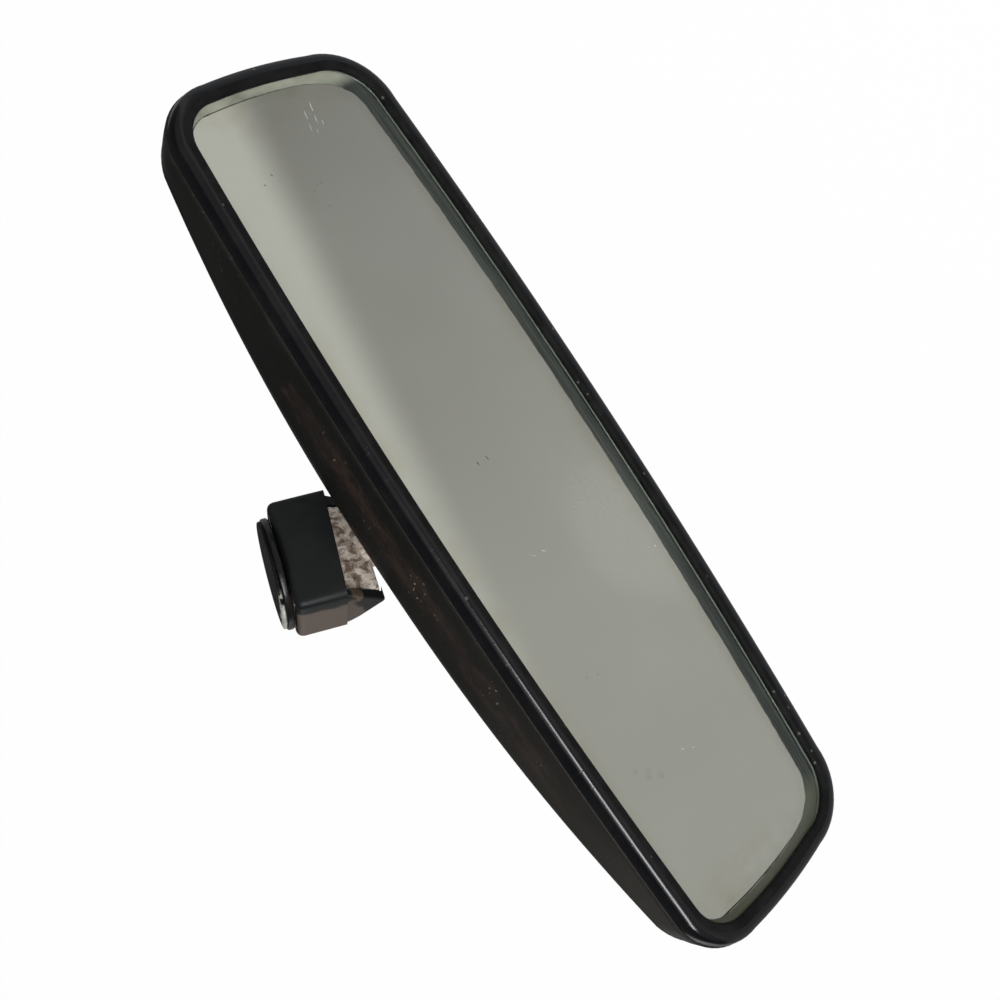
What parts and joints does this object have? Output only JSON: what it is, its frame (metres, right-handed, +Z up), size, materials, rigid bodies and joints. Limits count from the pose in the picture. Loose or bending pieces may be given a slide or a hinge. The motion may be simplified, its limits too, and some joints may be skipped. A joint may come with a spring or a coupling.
{
  "type": "interior rear-view mirror",
  "caption": "Wide bowed day / night mirror in a black housing, on a ball joint under a short windscreen foot, with a dip lever below.",
  "frame": {"origin": "middle of the flat bonding face that sits against the windscreen", "axes": "+X along the mirror, -Y towards the driver (the glass faces -Y), +Z up; the foot's face points up and away, because the mirror is shown swivelled on its ball"},
  "size_m": [0.2381, 0.0627, 0.0977],
  "materials": {
    "clear_adhesive": "clear, yellowed at its edge",
    "button_black": "gloss black e-coat",
    "spring_steel": "bright rolled spring steel",
    "cast_zinc": "rough as-cast grey metal",
    "screw_steel": "zinc plated",
    "cover_plastic": "fine matt grain",
    "stud_steel": "polished ball, turned neck",
    "nylon": "natural nylon",
    "retainer_plate": "black passivated",
    "bracket_plastic": "moulded glass-filled nylon",
    "shell_plastic": "fine matt grain, dusty",
    "bezel_plastic": "smooth semi-gloss black",
    "mirror_glass": "silvered on its back, faint green",
    "film": "grey film",
    "foam": "closed-cell foam",
    "pin_steel": "ground",
    "lever_plastic": "moulded, satin",
    "grip_rubber": "matt"
  },
  "bodies": {
    "mount": {"adhesive_pad": "clear_adhesive", "windscreen_button": "button_black", "button_spring": "spring_steel", "mount_casting": "cast_zinc", "set_screw": "screw_steel", "foot_cover": "cover_plastic", "arm_shroud": "cover_plastic", "ball_stud": "stud_steel"},
    "swivel": {"ball_liner": "nylon"},
    "tilt": {"pressure_cup": "spring_steel"},
    "carrier": {"disc_springs": "spring_steel", "socket_body": "cast_zinc", "socket_retainer": "retainer_plate", "retainer_screws": "screw_steel", "pivot_bracket": "bracket_plastic", "bracket_screws": "screw_steel"},
    "housing": {"housing_shell": "shell_plastic", "bezel": "bezel_plastic", "prism_glass": "mirror_glass", "backing_film": "film", "foam_strips": "foam", "pivot_pin": "pin_steel", "pin_clips": "spring_steel", "lever_pin": "pin_steel", "detent_spring": "spring_steel"},
    "lever": {"dip_lever": "lever_plastic", "lever_grip": "grip_rubber"}
  },
  "joints": [
    {"name": "ball_yaw", "type": "hinge", "parent": "mount", "child": "swivel", "pos_m": [-0.01459, -0.01486, -0.04057], "axis": [0, 0, 1], "range_deg": [-15, 2]},
    {"name": "ball_pitch", "type": "hinge", "parent": "swivel", "child": "tilt", "pos_m": [-0.01459, -0.01486, -0.04057], "axis": [1, 0, 0], "range_deg": [-2, 35]},
    {"name": "ball_roll", "type": "hinge", "parent": "tilt", "child": "carrier", "pos_m": [-0.01459, -0.01486, -0.04057], "axis": [0, 1, 0], "range_deg": [-4, 18]},
    {"name": "dip", "type": "hinge", "parent": "carrier", "child": "housing", "pos_m": [-0.01459, -0.03436, -0.02507], "axis": [1, 0, 0], "range_deg": [-5, 0]},
    {"name": "lever_turn", "type": "hinge", "parent": "housing", "child": "lever", "pos_m": [-0.01459, -0.03336, -0.07107], "axis": [1, 0, 0], "range_deg": [-32, 0]}
  ],
  "couplings": [
    {"joint": "dip", "follows": "lever_turn", "ratio": 0.15625}
  ]
}
